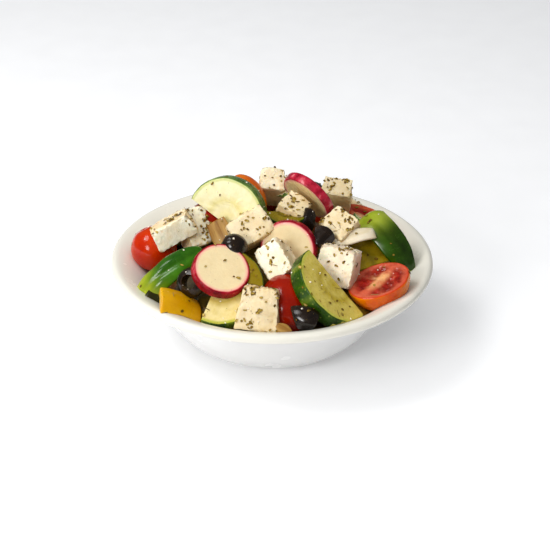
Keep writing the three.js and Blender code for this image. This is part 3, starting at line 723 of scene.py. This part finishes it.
def strip_mesh(name, length, width, thickness, curl, crown, tapers, groove, pale_to, seed):
    """A bent strip. It narrows by one taper towards -X and by the other towards +X, has a groove along it,
    and its skin is as pale as its flesh up to a share of its length."""
    half = thickness / 2
    roll = min(0.8, half * 0.7)
    shrink = 1 - 2 * roll / width
    face = [(s, half) for s in np.linspace(0, shrink, 12)]
    edge = [((shrink + 1) / 2, half - 0.12 * roll), (1 - 0.08 * (1 - shrink), half - 0.5 * roll)]
    profile = face + edge + [(1, half - roll), (1, 0)]
    profile += [(s, -z) for s, z in profile[:-1][::-1]]
    mesh = loft(name, box_outline(length, width, STRIP_STEP), profile)
    skins, pales = [], []
    for point in mesh.vertices:
        x, y, z = point.co / MM
        skins.append((z / thickness) + 0.5)
        along = 2 * x / length
        uneven = 0.15 * noise.noise(Vector((y * 0.3, seed, 0)))
        pales.append(1 / (1 + math.exp((along - pale_to + uneven) * 9)))
        side = y * (1 - tapers[x > 0] * along ** 2)
        side += 0.5 * noise.noise(Vector((x * 0.12, seed * 5, 0)))
        furrow = math.exp(-((side + 0.6 + 0.5 * math.sin(x * 0.15)) / 1.5) ** 2)
        z -= groove * furrow * (1 - along ** 2 * 0.6)
        z += 0.5 * noise.noise(Vector((x * 0.1, y * 0.16, seed * 3)))
        z += 0.25 * noise.noise(Vector((x * 0.4, y * 0.4, seed))) if z < 0 else 0
        lifted = (crown + z) * math.cos(side / crown) - crown
        across = (crown + z) * math.sin(side / crown)
        reach = curl + lifted
        point.co = Vector((reach * math.sin(x / curl), across, reach * math.cos(x / curl) - curl)) * MM
    carry(mesh, "skin", skins)
    carry(mesh, "pale", pales)
    mesh.update()
    return smoothed(mesh)


def pepper_finish(name, skin_dark, skin_light, flesh, flesh_light):
    pepper = Finish(name, skin_dark, 0.12, Subsurface_Weight=0.1, Subsurface_Radius=(0.7, 1.0, 0.3),
                    Subsurface_Scale=1.2 * MM, Specular_IOR_Level=0.4)
    skin = pepper.ramp(pepper.grain(60, 4), (0.35, skin_dark), (0.68, skin_light))
    pale = pepper.ramp(pepper.grain(90, 3), (0.35, flesh), (0.7, flesh_light))
    skin = pepper.mix(pepper.carried("pale"), skin, pale)
    inside = pepper.ramp(pepper.grain(130, 4), (0.3, flesh), (0.7, flesh_light))
    depth = pepper.sum(pepper.carried("skin"), pepper.sum(pepper.grain(300, 2), 0.06, "MULTIPLY"))
    tone = pepper.mix(pepper.ramp(depth, (0.8, 0.0), (0.93, 1.0)), inside, skin)
    rough = pepper.ramp(pepper.grain(260, 3), (0.3, 0.15), (0.7, 0.28))
    return pepper.paint(tone, rough, (pepper.grain(45, 2), 0.12 * MM), (pepper.grain(700, 2), 0.012 * MM))


green_pepper = pepper_finish("green_pepper", "1c4a04", "3e7406", "8c9c14", "b0b42c")
# A copy of the green pepper with its skin painted darker: painted shade on the right piece.
pepper_painted_shade = pepper_finish("pepper_painted_shade", "182c00", "305602", "8c9c14", "aeb83c")
shaded_pepper = pepper_finish("shaded_pepper", "1a1a02", "2e2c04", "3a340a", "4a3e0e")
yellow_pepper = pepper_finish("yellow_pepper", "d09402", "e4ae06", "cf9408", "dcb02c")


def onion_finish(name, dark, light):
    clear = Finish(name, light, 0.25, Subsurface_Weight=0.2, Subsurface_Radius=(1.0, 0.85, 0.7),
                   Subsurface_Scale=1.2 * MM, Specular_IOR_Level=0.25)
    lines = clear.grain(260, 3, (0.08, 1, 1))
    tone = clear.ramp(lines, (0.38, dark), (0.62, light))
    return clear.paint(tone, clear.ramp(lines, (0.3, 0.26), (0.7, 0.5)), (lines, 0.3 * MM))


white_onion = onion_finish("white_onion", "e6d4ae", "f6ead0")
# A copy of the onion painted brown and dark: painted shade where these leaves lie under their neighbours.
onion_painted_shade = onion_finish("onion_painted_shade", "7c5016", "b08a48")
STRIPS = [
    ("pepper_left", 44, 13.5, PEPPER_WALL, 30, 8, (0.05, 0.62), 1.3, -0.5, (-54.5, -35.5, 58), (-19, 50, 52),
     green_pepper, "green_pepper"),
    ("pepper_right", 44, 15.5, PEPPER_WALL, 26, 14, (-0.4, 0.6), 0.5, -0.45, (64, -5, 60.7), (10, 48, -61),
     pepper_painted_shade, "green_pepper"),
    ("pepper_side", 32, 14, PEPPER_WALL, 60, 16, (0.25, 0.25), 0.3, -1.2, (-52, -47.5, 40.6), (24, 53, -50),
     shaded_pepper, "green_pepper"),
    ("pepper_yellow", 24, 20, PEPPER_WALL, 40, 16, (0.15, 0.15), 0.3, -1.2, (-46.4, -56, 47.3),
     (61, 47, -50), yellow_pepper, "yellow_pepper"),
    ("pepper_rear", 38, 18, PEPPER_WALL, 26, 14, (0.25, 0.25), 0.6, -1.2, (0, 54, 62), (184, 42, 70),
     yellow_pepper, "yellow_pepper"),
    ("pepper_rear_left", 40, 18, PEPPER_WALL, 28, 14, (0.25, 0.25), 0.6, -0.8, (-55, 30, 48), (240, 50, 20),
     green_pepper, "green_pepper"),
    ("onion_right", 27, 8, ONION_WALL, 24, 14, (0.8, 0.3), 0, -2, (43.4, -11, 65.6),
     (7, 54, 14), white_onion, "onion"),
    ("onion_left", 16, 12, ONION_WALL, 60, 40, (0.1, 0.1), 0, -2, (-28, -2, 62),
     (-22, 37, -50), onion_painted_shade, "onion"),
    ("onion_low", 9, 6, ONION_WALL, 24, 14, (0.7, 0.7), 0, -2, (6.5, -73.5, 45),
     (0, 59, -30), onion_painted_shade, "onion"),
]
for seed, (name, *sizes, at, angles, finish, slot) in enumerate(STRIPS, 1):
    lay(name, strip_mesh(name, *sizes, seed), at, angles, finish)

# Bed. The mixed salad under the pieces that show: a wet mound of the same cut vegetables, its colours
# painted dark as painted shade for the gaps between the pieces. It fills the bowl out to the wall, and its
# top is a low dome with lumps.
BED_EDGE, BED_RISE, INSIDE_GAP = 38, 22, 0.2


def bed_mesh():
    wall = [tuple(p) for p in inside_of_bowl(30, INSIDE_GAP) if p[1] < BED_EDGE + 1][::-1]
    reach = wall[-1][0]
    top = [(reach * s, BED_EDGE + BED_RISE * (1 - s * s)) for s in np.linspace(1, 0, 34)[1:]]
    mesh = loft("bed", circle(140), [(0, FLOOR_HEIGHT + INSIDE_GAP)] + wall + top)
    hollows = []
    for point in mesh.vertices:
        x, y, z = point.co / MM
        lump = noise.voronoi(Vector((x, y, 0)) * 0.11)[0][0]
        rise = 2.5 * (0.5 - lump) + 1.2 * noise.noise(Vector((x, y, 3)) * 0.3) - 1.5
        at_top = z > BED_EDGE - 0.5
        point.co.z += rise * MM * (1 if at_top else 0)
        hollows.append(lump)
    carry(mesh, "hollow", hollows)
    mesh.update()
    return smoothed(mesh)


bed = Finish("mixed_salad", "7d6a24", 0.3, Coat_Weight=0.4, Coat_Roughness=0.1)
# The bed's colours are painted shade: near black to dark brown and red, as the gaps between the pieces look.
bed_painted_shade_tone = bed.ramp(bed.grain(60, 4), (0.3, "241c06"), (0.46, "54420e"), (0.62, "7e661c"), (0.8, "5c200a"))
bed_piece = bpy.data.objects.new("salad_bed_food", bed_mesh())
bed_piece.data.materials.append(bed.paint(bed_painted_shade_tone, None, (bed.grain(200, 5), 0.8 * MM)))
bpy.context.scene.collection.objects.link(bed_piece)
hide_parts("salad_bed")
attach(bed_piece, "root")

# Fit. The pieces are named from the top down. Each is pressed back by those on it and by the wall of the
# bowl, so what would run through a neighbour is cut away.
LAID = """
feta_front radish_front cucumber_front feta_right tomato_right feta_middle feta_left feta_crown
feta_right_top feta_herbed olive_whole pepper_left onion_right feta_left_far cucumber_top radish_middle
radish_back tomato_far_right feta_far_right feta_top tomato_top tomato_left olive_ring pepper_right
cucumber_right cucumber_low tomato_middle pepper_yellow olive_low cucumber_inner olive_inner olive_behind
tomato_inner onion_left onion_low pepper_side cucumber_rear feta_rear radish_rear pepper_rear tomato_rear
olive_rear feta_rear_right tomato_rear_right cucumber_rear_left pepper_rear_left olive_rear_left
radish_rear_low cucumber_rear_right feta_rear_left cucumber_side
""".split()
FEWEST_FACES = 20
OUTSIDE, UNDER, OVER = RIM_RADIUS + 8, -5, BOWL_HEIGHT + 0.3


def world_tree(piece):
    corners = [piece.matrix_world @ v.co for v in piece.data.vertices]
    return BVHTree.FromPolygons(corners, [tuple(p.vertices) for p in piece.data.polygons])


def cut_by(piece, tool):
    """Takes the tool's form out of a piece. A cut that leaves next to nothing has failed and isn't kept."""
    cut = piece.modifiers.new("cut", "BOOLEAN")
    cut.operation, cut.solver, cut.object = "DIFFERENCE", "MANIFOLD", tool
    bpy.context.view_layer.update()
    whole = piece.data
    fitted = bpy.data.meshes.new_from_object(piece.evaluated_get(bpy.context.evaluated_depsgraph_get()))
    piece.modifiers.remove(cut)
    if len(fitted.polygons) > FEWEST_FACES:
        piece.data = fitted
        piece.data.name = whole.name


wall_profile = [(0, UNDER), (OUTSIDE, UNDER), (OUTSIDE, OVER), (RIM_INSIDE, OVER)]
wall_profile += [tuple(p) for p in inside_of_bowl(24, INSIDE_GAP)] + [(0, FLOOR_HEIGHT + INSIDE_GAP)]
wall = bpy.data.objects.new("wall", loft("wall", circle(120), wall_profile))
bpy.context.scene.collection.objects.link(wall)
wall_tree = world_tree(wall)
trees = {}
for index, name in enumerate(LAID):
    piece = heap[name]
    tree = world_tree(piece)
    if tree.overlap(wall_tree):
        cut_by(piece, wall)
    for above in LAID[:index]:
        if tree.overlap(trees[above]):
            cut_by(piece, heap[above])
    trees[name] = tree
    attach(piece, "root")
bpy.data.objects.remove(wall)

# Herbs. Dried oregano rubbed over the heap: curled flakes of leaf, thin stems, and dust. Each kind is one
# mesh of loose bits that lie on what the sky reaches, thickest on the feta, with crumbs of the feta among
# them.
HERB_SEED = 11
FLAKES, STEMS, DUST, CRUMBS = 430, 45, 520, 160
CLUMP_REACH = 2.2
CLUMPED = {"feta_front": 8, "feta_right": 4, "feta_crown": 3, "feta_left_far": 4, "feta_far_right": 5,
           "feta_herbed": 4, "feta_right_top": 3, "feta_left": 3, "feta": 6}
THICK_ON = {"feta": 5.0, "cucumber": 1.6, "radish": 1.2, "tomato": 0.9, "pepper": 0.7, "olive": 1.2,
            "onion": 1.0}
dice = random.Random(HERB_SEED)


def skin_of(pieces):
    """The triangles that face up, how much herb each gets, and the corners and a tree of the whole skin."""
    spots, weights, corners, faces = [], [], [], []
    for name, piece in pieces.items():
        mesh, first = piece.data, len(corners)
        corners += [piece.matrix_world @ v.co for v in mesh.vertices]
        mesh.calc_loop_triangles()
        for triangle in mesh.loop_triangles:
            a, b, c = [first + i for i in triangle.vertices]
            faces.append((a, b, c))
            normal = (corners[b] - corners[a]).cross(corners[c] - corners[a])
            area = normal.length
            facing = normal.z / area if area > 0 else 0
            if facing > 0.05:
                spots.append((a, b, c, normal / area, name))
                weights.append(area * (0.25 + facing) * THICK_ON[name.split("_")[0]])
    return spots, weights, corners, BVHTree.FromPolygons(corners, faces)


spots, weights, skin_corners, skin_tree = skin_of(heap)
running = list(np.cumsum(weights))


def open_spot(kind=""):
    """A point that the sky reaches, and its normal, on a piece whose name starts with kind."""
    while True:
        a, b, c, normal, name = dice.choices(spots, cum_weights=running)[0]
        if not name.startswith(kind):
            continue
        u, v = dice.random(), dice.random()
        if u + v > 1:
            u, v = 1 - u, 1 - v
        point = skin_corners[a] * (1 - u - v) + skin_corners[b] * u + skin_corners[c] * v
        sky = Vector((dice.gauss(0, 0.35), dice.gauss(0, 0.35), 1)).normalized()
        if skin_tree.ray_cast(point + normal * 0.3 * MM, sky)[0] is None:
            return point, normal


def scatter(name, spots_taken, bit, finish):
    """Loose bits in one mesh, one at each spot. A bit is given as (corners, faces, shades) in millimetres,
    +Z off the surface."""
    corners, faces, shades = [], [], []
    for point, normal in spots_taken:
        bit_corners, bit_faces, bit_shades = bit()
        spin = Matrix.Rotation(dice.uniform(0, 6.28), 4, "Z")
        turn = Matrix.Translation(point) @ (normal.to_track_quat("Z", "Y").to_matrix().to_4x4() @ spin)
        faces += [[len(corners) + i for i in face] for face in bit_faces]
        corners += [turn @ (Vector(c) * MM) for c in bit_corners]
        shades += bit_shades
    mesh = bpy.data.meshes.new(name)
    mesh.from_pydata(corners, [], faces)
    carry(mesh, "shade", shades)
    mesh.materials.append(finish)
    bits = bpy.data.objects.new(name, mesh)
    bpy.context.scene.collection.objects.link(bits)
    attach(bits, "root")


def clumps():
    """Spots gathered in small heaps, where the herbs fell together."""
    taken = []
    for point, normal in [open_spot(kind) for kind, count in CLUMPED.items() for _ in range(count)]:
        for _ in range(dice.randint(5, 9)):
            aside = Vector((dice.gauss(0, 0.5), dice.gauss(0, 0.5), 0)) * CLUMP_REACH * MM
            found, met = skin_tree.ray_cast(point + aside + Vector((0, 0, 6 * MM)), Vector((0, 0, -1)))[:2]
            if found is not None and abs(found.z - point.z) < CLUMP_REACH * MM and met.z > 0.1:
                taken.append((found, met))
    return taken


def flake():
    """A torn bit of leaf: an uneven outline, curled up at its edges, and darker there than in its middle."""
    long, wide = dice.uniform(0.5, 1.5) ** 0.8, dice.uniform(0.4, 0.85)
    sides, tilt, bend = dice.randint(6, 8), dice.uniform(-0.25, 0.35), dice.uniform(0.1, 0.5)
    thick, base = 0.09, dice.random()
    rim, half_way = [], []
    for i in range(sides):
        a = math.tau * i / sides
        r = dice.uniform(0.65, 1.15)
        for ring, share in ((rim, 1), (half_way, 0.55)):
            x, y = long * r * share * math.cos(a), wide * r * share * math.sin(a)
            ring.append((x, y, 0.1 + abs(y) * bend + (x + long) * max(0, tilt)))
    corners = rim + [(x, y, z + thick) for x, y, z in rim + half_way]
    faces = [list(range(sides))[::-1], list(range(2 * sides, 3 * sides))]
    for i in range(sides):
        j = (i + 1) % sides
        faces += [[i, j, sides + j, sides + i], [sides + i, sides + j, 2 * sides + j, 2 * sides + i]]
    dark = max(0, base * 0.6 - 0.1)
    return corners, faces, [dark] * (2 * sides) + [0.25 + 0.75 * base] * sides


def stem():
    """A thin square stalk, bent in its middle, with one end lifted."""
    long, thick, lift = dice.uniform(0.8, 2.4), dice.uniform(0.1, 0.17), dice.uniform(0, 0.5)
    ends = [(-long, 0.12), (0, 0.16 + lift * 0.3), (long, 0.12 + lift)]
    around = (0, 1.57, 3.14, 4.71)
    corners = [(x, thick * math.cos(a), z + thick * math.sin(a)) for x, z in ends for a in around]
    faces = [[k + i, k + (i + 1) % 4, k + 4 + (i + 1) % 4, k + 4 + i] for k in (0, 4) for i in range(4)]
    return corners, [face[::-1] for face in faces] + [[0, 1, 2, 3], [11, 10, 9, 8]], [dice.random()] * 12


def grit(smallest, largest):
    """A maker of specks: an uneven eight-sided bit within a range of radii."""
    def bit():
        r = dice.uniform(smallest, largest)
        corners = [tuple(r * dice.uniform(0.6, 1.1) * c for c in axis) for axis in
                   ((1, 0, 0), (0, 1, 0), (-1, 0, 0), (0, -1, 0), (0, 0, 1), (0, 0, -1))]
        corners = [(x, y, z + r * 0.3) for x, y, z in corners]
        faces = [(0, 1, 4), (1, 2, 4), (2, 3, 4), (3, 0, 4), (1, 0, 5), (2, 1, 5), (3, 2, 5), (0, 3, 5)]
        return corners, faces, [dice.random()] * 6
    return bit


def herb_finish(name, *tones):
    herb = Finish(name, tones[0], 0.8, Specular_IOR_Level=0.2)
    steps = [(i / (len(tones) - 1), tone) for i, tone in enumerate(tones)]
    shade = herb.sum(herb.carried("shade"), herb.sum(herb.grain(900, 2), 0.3, "MULTIPLY"))
    tone = herb.ramp(herb.sum(shade, 0.15, "SUBTRACT"), *steps)
    return herb.paint(tone, None, (herb.grain(3000, 2), 0.03 * MM))


leaf = herb_finish("dried_leaf", "3a2a08", "6a4e14", "937224", "b09442", "c2ab62")
twig = herb_finish("dried_stem", "5a3d18", "8a6a34", "a58a52")
dust = herb_finish("herb_dust", "3a2e0e", "5c4a18", "806a2c")
crumb = herb_finish("feta_crumb", "f3e8cf", "fbf3df")
scatter("herb_flakes", [open_spot() for _ in range(FLAKES)] + clumps(), flake, leaf)
scatter("herb_stems", [open_spot() for _ in range(STEMS)], stem, twig)
scatter("herb_dust", [open_spot() for _ in range(DUST)], grit(0.12, 0.3), dust)
scatter("feta_crumbs", [open_spot() for _ in range(CRUMBS)], grit(0.25, 0.7), crumb)
